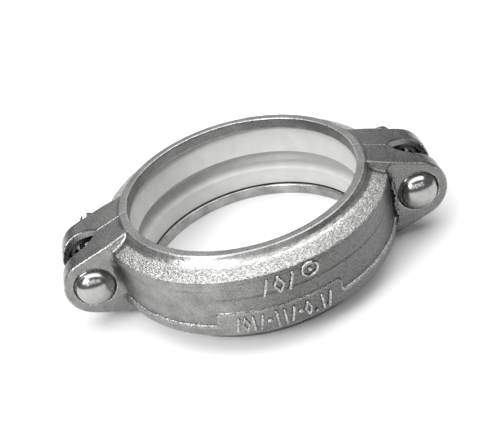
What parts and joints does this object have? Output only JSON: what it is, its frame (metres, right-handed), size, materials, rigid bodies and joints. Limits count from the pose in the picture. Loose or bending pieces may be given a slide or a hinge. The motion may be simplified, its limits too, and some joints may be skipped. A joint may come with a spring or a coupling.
{
  "type": "grooved pipe coupling",
  "caption": "Rigid grooved pipe coupling: two ductile iron half housings with bolt lugs, a white C-section gasket, and oval-neck track bolts with hex nuts.",
  "frame": {"origin": "Centre of the pipe bore, half way across the width of the housing and on the plane where the two halves part.", "axes": "+Z runs along the pipe axis. +X runs along the line through both bolts. +Y runs along the bolts, from their heads towards their nuts."},
  "size_m": [0.1882, 0.1404, 0.0472],
  "materials": {
    "zinc_casting": "sand-cast ductile iron, zinc plated, grainy",
    "white_silicone": "smooth moulded white silicone",
    "zinc_bolt": "bright zinc plated steel, polished dome",
    "zinc_nut": "zinc plated steel"
  },
  "bodies": {
    "front_half": {"housing_front": "zinc_casting", "bolt_left": "zinc_bolt", "bolt_right": "zinc_bolt"},
    "back_half": {"housing_back": "zinc_casting"},
    "seal_ring": {"gasket": "white_silicone"},
    "left_nut": {"nut_left": "zinc_nut"},
    "right_nut": {"nut_right": "zinc_nut"}
  },
  "joints": [
    {"name": "halves_spread", "type": "slide", "parent": "front_half", "child": "back_half", "axis": [0, 1, 0], "range_m": [0, 0.016]},
    {"name": "gasket_centre", "type": "slide", "parent": "front_half", "child": "seal_ring", "axis": [0, 1, 0], "range_m": [0, 0.008]},
    {"name": "nut_left_turn", "type": "hinge", "parent": "back_half", "child": "left_nut", "pos_m": [-0.0796, 0.022, 0], "axis": [0, 1, 0], "range_deg": [0, 3840]},
    {"name": "nut_right_turn", "type": "hinge", "parent": "back_half", "child": "right_nut", "pos_m": [0.0796, 0.022, 0], "axis": [0, 1, 0], "range_deg": [0, 3840]}
  ],
  "couplings": [
    {"joint": "gasket_centre", "follows": "halves_spread", "ratio": 0.5},
    {"joint": "nut_left_turn", "follows": "halves_spread", "rad_per_m": 4188.8},
    {"joint": "nut_right_turn", "follows": "halves_spread", "rad_per_m": 4188.8}
  ]
}
